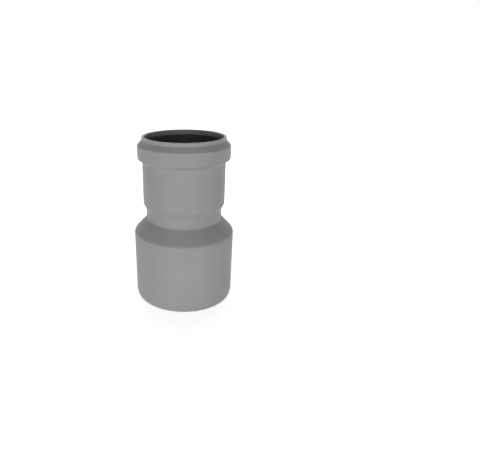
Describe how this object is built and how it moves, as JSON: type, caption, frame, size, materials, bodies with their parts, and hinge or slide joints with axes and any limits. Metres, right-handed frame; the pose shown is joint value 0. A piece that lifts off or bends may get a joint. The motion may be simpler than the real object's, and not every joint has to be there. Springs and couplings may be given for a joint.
{
  "type": "vent pipe reducer",
  "caption": "Moulded grey plastic vent pipe reducer: a wide spigot and cone below, a socket above with a hollow bead that holds a black rubber lip seal.",
  "frame": {"origin": "centre of the spigot's foot, on the plane that the reducer stands on", "axes": "+Z along the pipe axis, from the spigot up to the socket's mouth; X and Y are alike, because both pieces are round"},
  "size_m": [0.11, 0.11, 0.1787],
  "materials": {
    "reducer_body": "satin moulded grey polypropylene",
    "lip_seal": "matt black moulded rubber"
  },
  "bodies": {
    "root": {"reducer_body": "reducer_body", "lip_seal": "lip_seal"}
  },
  "joints": []
}
